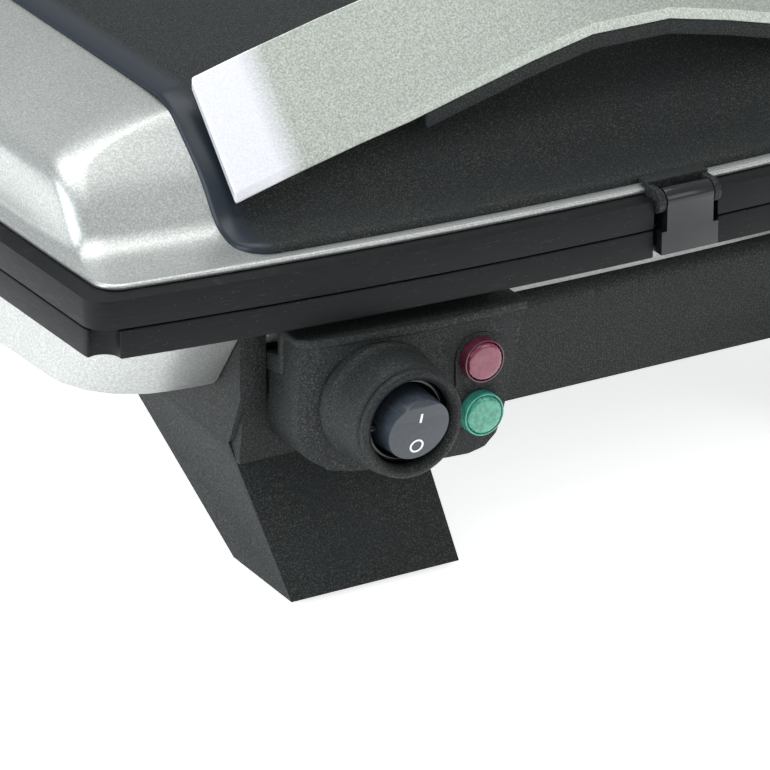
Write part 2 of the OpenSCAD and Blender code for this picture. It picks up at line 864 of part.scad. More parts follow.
module latch_mount() {
    color(black) difference() {
        union() {
            both_sides() along_x(latch_barrel_w / 2 + latch_gap, notch_half - latch_gap) {
                translate([pin_y, pin_z]) circle(r = latch_r);
                translate([pin_y, pin_z - latch_r]) square([block_front - pin_y + 0.5, 2 * latch_r]);
            }
            translate([-notch_half + latch_gap, block_front, lid_z - 4])
                cube([2 * (notch_half - latch_gap), notch_y - block_front - latch_gap, 4]);
            translate([-notch_half + latch_gap, block_front, lid_z])
                cube([2 * (notch_half - latch_gap), block_rear - block_front, lid_lip_z + 1.2]);
        }
        translate([0, pin_y, pin_z]) rod_x(-notch_half, notch_half, latch_pin_dia);
        lid_outer_cut();
    }
}

lid_lip_z = 2.4;

// keeps the mount out of the lid's rolled lip
module lid_outer_cut() {
    translate([0, 0, lid_z - 0.05]) linear_extrude(lid_lip_z)
        polygon(outline(lid_inset, lid_inset, lid_inset, corner_r, rear_corner_r));
}

hook_low = plate_z + 1.2;
toe_t = 2.5;
toe_back = 5.0;
catch_nose = 5.5;

module latch() {
    color("#151515") difference() {
        union() {
            translate([0, pin_y, pin_z]) rod_x(-latch_barrel_w / 2, latch_barrel_w / 2, 2 * latch_r);
            translate([-latch_barrel_w / 2, pin_y - latch_r + 0.2, hook_low])
                cube([latch_barrel_w, latch_t, pin_z - hook_low]);
            translate([-latch_w / 2, pin_y - latch_r + 0.2, hook_low]) cube([latch_w, latch_t, 6.5]);
            translate([-latch_barrel_w / 2, front_y + 1, hook_low]) cube([latch_barrel_w, toe_back - 1, toe_t]);
        }
        translate([0, pin_y, pin_z]) rod_x(-latch_w, latch_w, latch_pin_dia + 0.1);
    }
}

module latch_catch() {
    color(steel) translate([-latch_barrel_w / 2 + 1, front_y + catch_nose, hook_low + toe_t + 0.8])
        cube([latch_barrel_w - 2, notch_d - catch_nose, 2.6]);
}

// ---- hinge ----

bracket_foot_z = 40;
bracket_screw_z = 49;

module at_bracket_screws() {
    for (x = [-bracket_x - bracket_t / 2, bracket_x + bracket_t / 2])
        translate([x, rear_y - beam_set_back, bracket_screw_z]) children();
}

module hinge_brackets() {
    slot_r = rod_dia / 2 + slot_clearance;
    foot_y = rear_y - beam_set_back;
    color("#3c3f41") difference() {
        both_sides() along_x(bracket_x, bracket_x + bracket_t) union() {
            translate([foot_y, bracket_foot_z]) square([rod_y + bracket_r - foot_y, 15]);
            translate([rod_y - bracket_r, bracket_foot_z])
                square([2 * bracket_r, hinge_z + float_travel - bracket_foot_z]);
            translate([rod_y, hinge_z + float_travel]) circle(r = bracket_r);
        }
        translate([-half_w, rod_y - slot_r, hinge_z]) cube([plate_w, 2 * slot_r, float_travel]);
        for (z = [0, float_travel]) translate([0, rod_y, hinge_z + z]) rod_x(-half_w, half_w, 2 * slot_r);
        at_bracket_screws() rod_y(-1, 12, screw_dia);
    }
}

module bracket_screws() {
    color(steel) at_bracket_screws() {
        rod_y(-beam_wall, 11.5, screw_dia);
        rod_y(-beam_wall - screw_head, -beam_wall, 2 * screw_dia);
    }
}

cap_t = 3.5;
rod_half = bracket_x + bracket_t + 0.5 + cap_t;

module hinge_rod() {
    color(steel) translate([0, rod_y, hinge_z]) rod_x(-rod_half, rod_half, rod_dia);
}

module rod_caps() {
    color(black) both_sides() translate([0, rod_y, hinge_z]) difference() {
        rod_x(rod_half - cap_t, rod_half, rod_dia + 7);
        rod_x(rod_half - cap_t - 1, rod_half + 1, rod_dia);
    }
}

arm_gap = 2;
arm_x = bracket_x - arm_gap - arm_w;
arm_r = 8;
arm_top = 5;
arm_screw_deep = 6;
arm_screw_y = rear_y - 2.6;

module at_arm_screws() {
    for (x = [arm_x + 4, arm_x + arm_w - 4], s = [-1, 1]) translate([s * x, arm_screw_y, 0]) children();
}

module hinge_arms() {
    color(steel) difference() {
        both_sides() along_x(arm_x, arm_x + arm_w) union() {
            translate([rear_y - lid_inset + 0.3, lid_z]) square([lid_inset + hinge_back, arm_top]);
            translate([rear_y, upper_z + 1]) square([hinge_back, lid_z - upper_z + arm_top - 1]);
            translate([rod_y, hinge_z]) circle(r = arm_r);
        }
        translate([0, rod_y, hinge_z]) rod_x(-half_w, half_w, rod_dia + 2 * rod_clearance);
        at_arm_screws() translate([0, 0, lid_z - 1]) cylinder(h = arm_top + 2, d = screw_dia);
    }
}

module arm_screws() {
    color(steel) at_arm_screws() {
        translate([0, 0, lid_z - arm_screw_deep + 0.5]) cylinder(h = arm_top + arm_screw_deep, d = screw_dia);
        translate([0, 0, lid_z + arm_top]) cylinder(h = 1.5, d = screw_dia * 1.5);
    }
}

// ---- lid ----

// front inset, side inset and height of each level of the lid, from the flange up
lid_levels = [[0, 0, 0], [0, 0, 0.033], [0.8, 0.6, 0.05], [3.5, 1.4, 0.057], [11, 2.4, 0.08],
              [16.5, 3, 0.125], [20, 3.2, 0.2], [22.6, 3.4, 0.31], [25, 3.6, 0.42], [28, 3.9, 0.53],
              [31.4, 4.6, 0.63], [34.6, 7, 0.715], [37.5, 12, 0.79], [40.5, 20, 0.87], [44, 31, 0.95], [49, 44, 1]];

function lid_ring(level, wall, drop) =
    ring(outline(lid_inset + level[0] + wall, lid_inset + level[1] + wall,
                 lid_inset + level[0] * 0.7 + wall, corner_r + level[1] / 4, rear_corner_r),
         lid_z + level[2] * lid_h - drop);

module lid_shell() {
    last = len(lid_levels) - 1;
    inner = [for (i = [last:-1:0]) lid_ring(lid_levels[i], lid_wall, i == 0 ? 0 : lid_wall * min(i, 4) / 4)];
    outer = [for (l = lid_levels) lid_ring(l, 0, 0)];
    color(silver) loft(concat(inner, outer));
}

// the panel follows the lid's front slope and its flat top
panel_levels = [for (i = [3:len(lid_levels) - 1]) lid_levels[i]];
panel_rear = plate_d - 75;
panel_steps = 12;

function panel_section(x, lift) =
    [for (i = [0:len(panel_levels) - 1])
         let (a = panel_levels[max(i - 1, 0)], b = panel_levels[min(i + 1, len(panel_levels) - 1)],
              run = b[0] - a[0], rise = (b[2] - a[2]) * lid_h, l = sqrt(run * run + rise * rise),
              p = panel_levels[i])
         [x, front_at(x, lid_inset + p[0]) - lift * rise / l, lid_z + p[2] * lid_h + lift * run / l]];

function panel_row(x, lift) =
    let (s = panel_section(x, lift)) concat(s, [[x, front_y + panel_rear, s[len(s) - 1].z]]);

// solid between a lower and an upper row of points at each station
module sheet(lows, highs) {
    m = len(lows[0]);
    n = 2 * m;
    last = (len(lows) - 1) * n;
    rows = [for (k = [0:len(lows) - 1]) concat(lows[k], [for (i = [m - 1:-1:0]) highs[k][i]])];
    faces = [for (k = [0:len(lows) - 2], i = [0:n - 1])
             let (j = (i + 1) % n, a = k * n, b = a + n)
             each [[a + i, b + j, b + i], [a + i, a + j, b + j]]];
    ends = [for (i = [0:m - 2]) let (p = i, q = i + 1, r = n - 2 - i, s = n - 1 - i)
            each [[p, s, r], [p, r, q], [last + p, last + q, last + r], [last + p, last + r, last + s]]];
    polyhedron([for (r = rows) each r], concat(faces, ends));
}

module lid_panel() {
    xs = [for (i = [0:panel_steps]) mix(-panel_half, panel_half, i / panel_steps)];
    color(black) sheet([for (x = xs) panel_row(x, 0.05)], [for (x = xs) panel_row(x, panel_t)]);
}

// ---- handle ----

handle_y = front_y + handle_set_back;
handle_z = lid_z + 0.367 * lid_h;
normal_rise = handle_rise * cos(handle_tilt);

// the arch from its end to the middle: share of the half length, and share of the rise
arch_shape = [[1, 0], [0.864, 0.165], [0.686, 0.36], [0.566, 0.477], [0.424, 0.65], [0.254, 0.85], [0.1, 1]];

// half outline of the arch, lifted along the slope's normal
function arch(lift) = [for (p = arch_shape) [-handle_half * p.x, lift + p.y * normal_rise]];

// height of the arch's underside at a place on the handle
function arch_z(x, y) = handle_z + lookup(abs(x) / handle_half, arch_shape) * handle_rise
    + (y - handle_y) * tan(handle_tilt);

module arch_band(low, high, half) {
    intersection() {
        translate([0, handle_y, handle_z]) rotate([handle_tilt, 0, 0])
            translate([0, 90, 0]) rotate([90, 0, 0]) linear_extrude(150)
                polygon(concat(arch(low), flip(arch(low)),
                               [for (p = arch(high)) [-p.x, p.y]], reversed(arch(high))));
        translate([-half, handle_y, 0]) cube([2 * half, handle_d, 300]);
    }
}

function reversed(points) = [for (i = [len(points) - 1:-1:0]) points[i]];

module handle_cover() {
    color(silver) arch_band(0, handle_t, half_w);
}

grip_half = 62;
grip_t = 3;

module handle_grip() {
    color(black) arch_band(-grip_t, 0, grip_half);
}

handle_screw_x = handle_half - 13;
mount_half = 9;
mount_steps = 3;
mount_levels = [4:8];

// pads that carry the handle's ends on the lid's panel
module handle_mounts() {
    lows = [for (i = [0:mount_steps])
            let (row = panel_section(handle_screw_x + mix(-mount_half, mount_half, i / mount_steps), panel_t))
            [for (k = mount_levels) row[k]]];
    highs = [for (row = lows) [for (p = row) [p.x, p.y, arch_z(p.x, p.y)]]];
    color(black) both_sides() sheet(lows, highs);
}

// along the slope's normal, up through the lid and the panel into each end of the handle
module handle_screws() {
    color(steel) for (x = [-handle_screw_x, handle_screw_x])
        translate([x, handle_y, arch_z(x, handle_y)]) rotate([handle_tilt, 0, 0])
            translate([0, handle_d * 0.6, -12]) {
            cylinder(h = 14, d = handle_screw_dia);
            cylinder(h = screw_head, d = handle_screw_dia * 2);
        }
}

// ---- electrical parts ----

module at_middle(x, d) {
    translate([x, front_y + d, 0]) children();
}

thermostat_d = heater_mid_d;

module thermostat_disc(z) {
    translate([0, 0, z]) {
        cylinder(h = 5, d = 22);
        for (x = [-13, 8]) translate([x, -2.5, 1]) cube([5, 5, 1]);
    }
}

module thermostat() {
    color("ivory") at_middle(0, thermostat_d) thermostat_disc(plate_z - 5.5);
}

module upper_thermostat() {
    color("ivory") at_middle(0, thermostat_d) thermostat_disc(lid_z);
}

module thermal_fuse() {
    color("white") at_middle(-45, thermostat_d) translate([0, 0, plate_z - 4]) rod_x(-10, 10, 4);
}

block_z = tray_low + tray_wall;

module terminal_block() {
    color("beige") at_middle(gland_x, plate_d - 110) translate([-20, -9, block_z]) difference() {
        cube([40, 18, 12]);
        for (x = [8, 20, 32]) translate([x, -1, 6]) rod_y(0, 20, 4);
    }
}

wire_dia = 2.6;

// straight leads that run forward from the terminal block over the tray's floor
module supply_wires() {
    color("firebrick") for (i = [0:2]) at_middle(gland_x - 12 + 12 * i, 0)
        translate([0, 0, block_z + 6]) rod_y(60 + 5 * i, plate_d - 102, wire_dia);
}

gland_flange_t = 4;

module cord_gland() {
    out = rear_y - beam_set_back;
    color("#1c1c1c") translate([gland_x, 0, gland_z]) difference() {
        union() {
            rod_y(out - beam_wall - tray_gap - tray_wall - 6, out, gland_neck);
            rod_y(out, out + gland_flange_t, gland_neck + 6, gland_neck + 3);
        }
        rod_y(out - 30, out + 10, gland_bore);
    }
}

module gland_nut() {
    inner = front_y + tray_rear - tray_wall;
    color(black) translate([gland_x, 0, gland_z]) difference() {
        translate([0, inner, 0]) rotate([90, 0, 0]) rotate([0, 0, 30])
            cylinder(h = 4, d = gland_neck + 3, $fn = 6);
        rod_y(inner - 10, inner + 1, gland_neck);
    }
}

front_frame();
rear_frame();
foot_pads();
frame_screws();
lower_housing();
bottom_tray();
lower_plate();
lower_heater();
lower_heater_clips();
lower_heat_shield();
plate_screws();
thermostat();
thermal_fuse();
terminal_block();
supply_wires();
cord_gland();
gland_nut();
control_box();
control_cover();
switch_bezel();
switch_module();
rocker();
rocker_pin();
red_lamp_lens();
green_lamp_lens();
lamp_holders();
latch_catch();
hinge_brackets();
bracket_screws();
hinge_rod();
rod_caps();
upper_plate();
upper_heater();
upper_heater_clips();
upper_heat_shield();
upper_thermostat();
hinge_arms();
arm_screws();
lid_shell();
lid_panel();
handle_cover();
handle_grip();
handle_mounts();
handle_screws();
latch_mount();
latch_pin();
latch();
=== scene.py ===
"""Looks of a contact grill: a silver lid over two cast plates, on a moulded black base.

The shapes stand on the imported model, in its own frame and in metres. MM turns millimetres into metres.
"""

import json
import math

import bmesh
import bpy
from mathutils import Matrix, Vector


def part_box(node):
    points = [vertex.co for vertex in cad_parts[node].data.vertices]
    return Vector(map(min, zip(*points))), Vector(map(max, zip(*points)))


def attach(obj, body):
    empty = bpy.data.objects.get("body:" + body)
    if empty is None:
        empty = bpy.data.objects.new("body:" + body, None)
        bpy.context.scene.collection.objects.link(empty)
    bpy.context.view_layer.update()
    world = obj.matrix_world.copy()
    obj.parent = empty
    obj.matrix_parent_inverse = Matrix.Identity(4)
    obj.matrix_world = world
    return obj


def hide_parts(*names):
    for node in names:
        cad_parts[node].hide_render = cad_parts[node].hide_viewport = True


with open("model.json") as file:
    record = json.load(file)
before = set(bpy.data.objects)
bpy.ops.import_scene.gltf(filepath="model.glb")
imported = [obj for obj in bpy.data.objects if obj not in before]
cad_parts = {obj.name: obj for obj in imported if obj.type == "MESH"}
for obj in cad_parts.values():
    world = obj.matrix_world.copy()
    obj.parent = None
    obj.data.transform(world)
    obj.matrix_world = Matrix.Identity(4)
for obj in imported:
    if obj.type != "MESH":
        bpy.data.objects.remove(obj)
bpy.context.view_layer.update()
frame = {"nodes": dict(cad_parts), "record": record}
MM = 0.001


# ---- materials ----

class Finish:
    """A node material, with short names for the nodes that the finishes share."""

    def __init__(self, name):
        self.material = bpy.data.materials.new(name)
        self.material.use_nodes = True
        self.nodes = self.material.node_tree.nodes
        self.links = self.material.node_tree.links
        self.shader = self.nodes["Principled BSDF"]
        self.place = self.nodes.new("ShaderNodeTexCoord").outputs["Object"]

    def stretch(self, scale):
        mapping = self.nodes.new("ShaderNodeMapping")
        mapping.inputs["Scale"].default_value = scale
        self.links.new(self.place, mapping.inputs["Vector"])
        return mapping.outputs["Vector"]

    def noise(self, scale, detail=2.0, roughness=0.5, vector=None):
        node = self.nodes.new("ShaderNodeTexNoise")
        node.inputs["Scale"].default_value = scale
        node.inputs["Detail"].default_value = detail
        node.inputs["Roughness"].default_value = roughness
        self.links.new(vector or self.place, node.inputs["Vector"])
        return node.outputs["Fac"]

    def cells(self, scale, vector=None):
        node = self.nodes.new("ShaderNodeTexVoronoi")
        node.inputs["Scale"].default_value = scale
        self.links.new(vector or self.place, node.inputs["Vector"])
        return node.outputs["Distance"]

    def ramp(self, value, stops):
        node = self.nodes.new("ShaderNodeValToRGB")
        node.color_ramp.elements[0].position = stops[0][0]
        node.color_ramp.elements[1].position = stops[-1][0]
        for position, colour in stops[1:-1]:
            node.color_ramp.elements.new(position)
        for element, (position, colour) in zip(node.color_ramp.elements, stops):
            element.color = (*colour, 1) if hasattr(colour, "__len__") else (colour, colour, colour, 1)
        self.links.new(value, node.inputs["Fac"])
        return node.outputs["Color"]

    def mix(self, share, a, b):
        node = self.nodes.new("ShaderNodeMix")
        node.data_type = "RGBA"
        self.links.new(share, node.inputs["Factor"])
        for socket, value in (("A", a), ("B", b)):
            target = next(s for s in node.inputs if s.name == socket and s.type == "RGBA")
            if hasattr(value, "is_linked"):
                self.links.new(value, target)
            else:
                target.default_value = (*value, 1)
        return next(s for s in node.outputs if s.type == "RGBA")

    def bump(self, height, strength, distance, below=None):
        node = self.nodes.new("ShaderNodeBump")
        node.inputs["Strength"].default_value = strength
        node.inputs["Distance"].default_value = distance
        self.links.new(height, node.inputs["Height"])
        if below:
            self.links.new(below, node.inputs["Normal"])
        return node.outputs["Normal"]

    def away_from_middle(self, stops):
        """Ramp over the distance from the middle of the press's width."""
        parts = self.nodes.new("ShaderNodeSeparateXYZ")
        self.links.new(self.place, parts.inputs["Vector"])
        away = self.nodes.new("ShaderNodeMath")
        away.operation = "ABSOLUTE"
        self.links.new(parts.outputs["X"], away.inputs[0])
        return self.ramp(away.outputs["Value"], stops)

    def set(self, **sockets):
        names = {"colour": "Base Color", "roughness": "Roughness", "normal": "Normal", "metallic": "Metallic",
                 "coat": "Coat Weight", "coat_roughness": "Coat Roughness", "specular": "Specular IOR Level",
                 "ior": "IOR", "transmission": "Transmission Weight", "sheen": "Sheen Weight"}
        for key, value in sockets.items():
            socket = self.shader.inputs[names[key]]
            if hasattr(value, "is_linked"):
                self.links.new(value, socket)
            elif hasattr(value, "__len__"):
                socket.default_value = (*value, 1)
            else:
                socket.default_value = value
        return self.material


def spark_texture_plastic():
    """Matt black plastic with the fine, coarse-edged grain of a spark-eroded mould."""
    return textured_black("spark_texture_plastic", False)


def panel_finish():
    """The same grain on the lid's panel, whose rolled sides are smooth."""
    return textured_black("panel_texture_plastic", True)


def textured_black(name, smooth_sides):
    f = Finish(name)
    grain = f.noise(2500, 2, 0.6)
    cloud = f.noise(60, 2, 0.5)
    speck = f.ramp(grain, [(0.44, (0.004, 0.005, 0.005)), (0.56, (0.013, 0.016, 0.015)),
                           (0.68, (0.048, 0.056, 0.048))])
    colour = f.mix(f.ramp(cloud, [(0.35, 0.0), (0.65, 0.35)]), speck, (0.009, 0.012, 0.013))
    rough = f.ramp(grain, [(0.35, 0.72), (0.7, 0.5)])
    relief = f.ramp(grain, [(0.3, 0.0), (0.75, 1.0)])
    if smooth_sides:
        side = f.away_from_middle([(0.1135, 0.0), (0.1155, 1.0)])
        colour = f.mix(side, colour, (0.012, 0.018, 0.025))
        rough = f.mix(side, rough, (0.36, 0.36, 0.36))
        relief = f.mix(side, relief, (0.35, 0.35, 0.35))
    return f.set(colour=colour, roughness=rough, specular=0.3, normal=f.bump(relief, 0.6, 0.06 * MM))


def gloss_plastic():
    f = Finish("gloss_plastic")
    cloud = f.noise(120, 3, 0.6)
    return f.set(colour=f.ramp(cloud, [(0.3, (0.003, 0.0035, 0.004)), (0.7, (0.007, 0.008, 0.009))]),
                 roughness=f.ramp(cloud, [(0.3, 0.14), (0.7, 0.24)]), normal=f.bump(cloud, 0.05, 0.1 * MM))


def slate_gloss():
    """Smooth plastic of the rocker, a little bluer than the black around it."""
    f = Finish("slate_gloss")
    fine = f.noise(900, 2, 0.5)
    return f.set(colour=f.ramp(fine, [(0.3, (0.020, 0.026, 0.034)), (0.7, (0.030, 0.038, 0.048))]),
                 roughness=f.ramp(fine, [(0.3, 0.30), (0.7, 0.38)]), normal=f.bump(fine, 0.08, 0.05 * MM))


def white_print():
    f = Finish("white_print")
    fine = f.noise(1200, 2, 0.5)
    return f.set(colour=f.ramp(fine, [(0.3, (0.70, 0.72, 0.72)), (0.7, (0.84, 0.85, 0.84))]), roughness=0.5)


def lamp_rim(name, dark, light):
    """Moulded rim of a lamp, tinted by the cap it holds."""
    f = Finish(name)
    fine = f.noise(500, 2, 0.5)
    return f.set(colour=f.ramp(fine, [(0.3, dark), (0.7, light)]), roughness=0.24, coat=0.5,
                 coat_roughness=0.1)


def silver_paint():
    """Satin silver paint with a fine metal flake."""
    f = Finish("silver_paint")
    flake = f.noise(1900, 2, 0.6)
    cloud = f.noise(30, 2, 0.5)
    colour = f.mix(f.ramp(flake, [(0.40, 0.0), (0.66, 1.0)]), (0.37, 0.39, 0.37), (0.55, 0.56, 0.545))
    return f.set(colour=colour, metallic=0.8, roughness=f.ramp(cloud, [(0.3, 0.34), (0.7, 0.40)]),
                 normal=f.bump(flake, 0.25, 0.06 * MM))


def handle_paint_and_highlight():
    """The silver of the handle: its end folds are painted paler and smoother than its middle, a painted
    highlight for the light they catch.
    """
    f = Finish("handle_paint_and_highlight")
    flake = f.noise(1900, 2, 0.6)
    # painted highlight: past the folds the colour turns paler, standing in for the light the end facets
    # reflect
    ends = f.away_from_middle([(0.1008, 0.0), (0.1022, 1.0)])
    middle = f.mix(f.ramp(flake, [(0.38, 0.0), (0.68, 1.0)]), (0.30, 0.33, 0.29), (0.52, 0.55, 0.50))
    end = f.mix(f.ramp(flake, [(0.3, 0.0), (0.7, 1.0)]), (0.66, 0.66, 0.70), (0.76, 0.76, 0.80))
    return f.set(colour=f.mix(ends, middle, end), metallic=0.55, roughness=0.4,
                 normal=f.bump(flake, 0.2, 0.05 * MM))


def cast_plate():
    """Coated casting whose edges keep fine lines from machining, with a few bright specks."""
    f = Finish("cast_plate")
    lines = f.noise(1.0, 3, 0.65, f.stretch((200, 200, 2400)))
    specks = f.cells(560)
    base = f.ramp(lines, [(0.42, (0.0016, 0.0018, 0.0022)), (0.64, (0.005, 0.0055, 0.0065)),
                          (0.80, (0.040, 0.044, 0.046))])
    colour = f.mix(f.ramp(specks, [(0.03, 1.0), (0.06, 0.0)]), base, (0.16, 0.16, 0.15))
    return f.set(colour=colour, roughness=f.ramp(lines, [(0.3, 0.42), (0.7, 0.6)]), specular=0.2,
                 normal=f.bump(lines, 0.35, 0.07 * MM))


def bare_steel():
    f = Finish("bare_steel")
    lines = f.noise(1.0, 3, 0.6, f.stretch((300, 2200, 2200)))
    return f.set(colour=f.ramp(lines, [(0.3, (0.40, 0.41, 0.42)), (0.7, (0.60, 0.61, 0.62))]), metallic=1.0,
                 roughness=f.ramp(lines, [(0.3, 0.26), (0.7, 0.38)]), normal=f.bump(lines, 0.1, 0.05 * MM))


def hinge_paint():
    f = Finish("hinge_paint")
    fine = f.noise(900, 3, 0.6)
    paint = f.ramp(fine, [(0.35, (0.045, 0.048, 0.050)), (0.7, (0.090, 0.094, 0.098))])
    return f.set(colour=paint, metallic=0.3,
                 roughness=f.ramp(fine, [(0.3, 0.40), (0.7, 0.52)]), normal=f.bump(fine, 0.25, 0.12 * MM))


def foot_rubber():
    f = Finish("foot_rubber")
    fine = f.noise(1500, 3, 0.6)
    rubber = f.ramp(fine, [(0.3, (0.014, 0.014, 0.014)), (0.7, (0.030, 0.030, 0.030))])
    return f.set(colour=rubber, roughness=0.85,
                 normal=f.bump(fine, 0.3, 0.1 * MM))


def lamp_glass(name, dark, light):
    f = Finish(name)
    facets = f.noise(900, 2, 0.5)
    return f.set(colour=f.ramp(facets, [(0.35, dark), (0.65, light)]), roughness=0.16, ior=1.49,
                 transmission=0.1, coat=0.8, coat_roughness=0.08, normal=f.bump(facets, 0.15, 0.08 * MM))


def glazed_ceramic():
    f = Finish("glazed_ceramic")
    cloud = f.noise(400, 3, 0.6)
    return f.set(colour=f.ramp(cloud, [(0.3, (0.62, 0.59, 0.50)), (0.7, (0.74, 0.71, 0.62))]), roughness=0.28,
                 normal=f.bump(cloud, 0.1, 0.05 * MM))


def shield_aluminium():
    f = Finish("shield_aluminium")
    lines = f.noise(1.0, 3, 0.6, f.stretch((1800, 160, 1800)))
    return f.set(colour=f.ramp(lines, [(0.3, (0.62, 0.63, 0.64)), (0.7, (0.76, 0.77, 0.78))]), metallic=1.0,
                 roughness=f.ramp(lines, [(0.3, 0.28), (0.7, 0.40)]), normal=f.bump(lines, 0.1, 0.04 * MM))


def wire_sleeve():
    f = Finish("wire_sleeve")
    cloud = f.noise(300, 2, 0.5)
    return f.set(colour=f.ramp(cloud, [(0.3, (0.36, 0.02, 0.02)), (0.7, (0.50, 0.05, 0.04))]), roughness=0.35)


FINISHES = {
    "textured_black_plastic": spark_texture_plastic(),
    "smooth_black_plastic": gloss_plastic(),
    "silver_paint": silver_paint(),
    "cast_plate": cast_plate(),
    "bare_steel": bare_steel(),
    "hinge_casting": hinge_paint(),
    "foot_rubber": foot_rubber(),
    "red_lens": lamp_glass("red_lens_glass", (0.13, 0.006, 0.03), (0.22, 0.014, 0.05)),
    "green_lens": lamp_glass("green_lens_glass", (0.015, 0.20, 0.125), (0.05, 0.36, 0.23)),
    "ceramic": glazed_ceramic(),
    "shield_aluminium": shield_aluminium(),
    "red_wire": wire_sleeve(),
}
NODE_SLOT = {row["node"]: row["material_slot"] for row in frame["record"]["subparts"]}
NODE_BODY = {node: body for body, nodes in frame["record"]["behaviour"]["bodies"].items() for node in nodes}


def dress_nodes():
    """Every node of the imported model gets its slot's finish."""
    for name, node in frame["nodes"].items():
        node.data.materials.clear()
        node.data.materials.append(FINISHES[NODE_SLOT[name]])


# ---- pieces ----

# an edge that turns by more degrees than this is rounded
EDGE_ANGLE = 34
# corners closer than this are one, and faces within this many degrees of each other are joined
SAME_PLACE = 1e-5
FLAT_ANGLE = 0.6
# radius in millimetres that each plain part's edges get
EDGE_RADIUS = {
    "front_frame": 0.8, "rear_frame": 0.8, "lower_housing": 0.5, "bottom_tray": 0.6, "foot_pads": 0.5,
    "cord_gland": 0.6, "gland_nut": 0.5, "lower_plate": 0.45, "upper_plate": 0.45, "control_cover": 0.7,
    "hinge_brackets": 0.8, "hinge_arms": 0.8, "rod_caps": 0.8, "hinge_rod": 0.6, "handle_grip": 0.7,
    "handle_mounts": 0.5, "latch_mount": 0.5, "latch_catch": 0.3, "frame_screws": 0.3,
    "bracket_screws": 0.3, "plate_screws": 0.3, "arm_screws": 0.3, "handle_screws": 0.3,
    "terminal_block": 0.5,
}


def add_piece(name, bm, finish, body, stands_for=(), sharp=30):
    """A finished mesh, riding on its body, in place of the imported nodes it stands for."""
    bmesh.ops.recalc_face_normals(bm, faces=bm.faces)
    mesh = bpy.data.meshes.new(name)
    bm.to_mesh(mesh)
    bm.free()
    mesh.shade_smooth()
    mesh.set_sharp_from_angle(angle=math.radians(sharp))
    mesh.materials.append(finish)
    piece = bpy.data.objects.new(name, mesh)
    bpy.context.scene.collection.objects.link(piece)
    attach(piece, body)
    for node in stands_for:
        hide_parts(node)
    return piece


def sharp_edges(bm, angle):
    limit = math.radians(angle)
    return [e for e in bm.edges if len(e.link_faces) == 2 and e.calc_face_angle(0) > limit]


def round_edges(bm, angle, radius):
    """Rounds every edge that is sharper than an angle."""
    edges = sharp_edges(bm, angle)
    if edges:
        bmesh.ops.bevel(bm, geom=edges, offset=radius * MM, offset_type="OFFSET", segments=3, profile=0.5,
                        affect="EDGES", clamp_overlap=True, material=-1)


def node_mesh(node):
    """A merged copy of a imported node's mesh, with its flat faces joined."""
    bm = bmesh.new()
    bm.from_mesh(frame["nodes"][node].data)
    bmesh.ops.remove_doubles(bm, verts=bm.verts, dist=SAME_PLACE)
    bmesh.ops.dissolve_limit(bm, angle_limit=math.radians(FLAT_ANGLE), verts=bm.verts, edges=bm.edges)
    return bm


def softened(node, radius):
    """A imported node's shape with its sharp edges rounded off."""
    bm = node_mesh(node)
    round_edges(bm, EDGE_ANGLE, radius)
    add_piece(node + "_soft", bm, FINISHES[NODE_SLOT[node]], NODE_BODY[node], (node,))


def soften_nodes():
    for node, radius in EDGE_RADIUS.items():
        softened(node, radius)


# ---- lid ----

PLATE_LOW, PLATE_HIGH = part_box("lower_plate")
LID_LOW, LID_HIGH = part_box("lid_shell")
HALF_W = PLATE_HIGH.x
FRONT_Y = PLATE_LOW.y
REAR_Y = PLATE_HIGH.y
LID_H = LID_HIGH.z - LID_LOW.z
LID_INSET = 5.5 * MM
FRONT_BOW = 12.5 * MM
SIDE_BOW = 2.5 * MM
# corner radii in millimetres, and how much of the front's slope the rear has
CORNER_R = 7
REAR_CORNER_R = 16
REAR_SHARE = 0.7
LID_WALL = 1.6
WALL_STEPS = 12
CAP_INSET = 3
# front inset and side inset in millimetres, and share of the height, from the lip up
LID_LEVELS = [(3.5, 1.4, 0.057), (11, 2.4, 0.08), (16.5, 3, 0.125), (20, 3.2, 0.2), (22.6, 3.4, 0.31),
              (25, 3.6, 0.42), (28, 3.9, 0.53), (31.4, 4.6, 0.63), (34.6, 7, 0.715), (37.5, 12, 0.79),
              (40.5, 20, 0.87), (44, 31, 0.95), (49, 44, 1.0)]
LIP_LEVELS = [(0.6, 0.6, 0.0), (0.1, 0.1, 0.008), (0, 0, 0.016), (0, 0, 0.034), (0.15, 0.12, 0.043),
              (0.5, 0.35, 0.051), (1.2, 0.8, 0.055)]


def front_at(x, inset):
    return FRONT_Y + inset + FRONT_BOW * (x / HALF_W) ** 2


def side_at(y, inset):
    share = (y - (FRONT_Y + REAR_Y) / 2) / ((REAR_Y - FRONT_Y) / 2)
    return HALF_W - inset - SIDE_BOW * share ** 2


def round_corner(a, b, c, radius, steps):
    u = (a - b).normalized()
    w = (c - b).normalized()
    half = math.acos(max(-1, min(1, u.dot(w)))) / 2
    middle = b + (u + w).normalized() * radius / math.sin(half)
    start = b + u * radius / math.tan(half) - middle
    end = b + w * radius / math.tan(half) - middle
    return [middle + radius * start.lerp(end, i / steps).normalized() for i in range(steps + 1)]


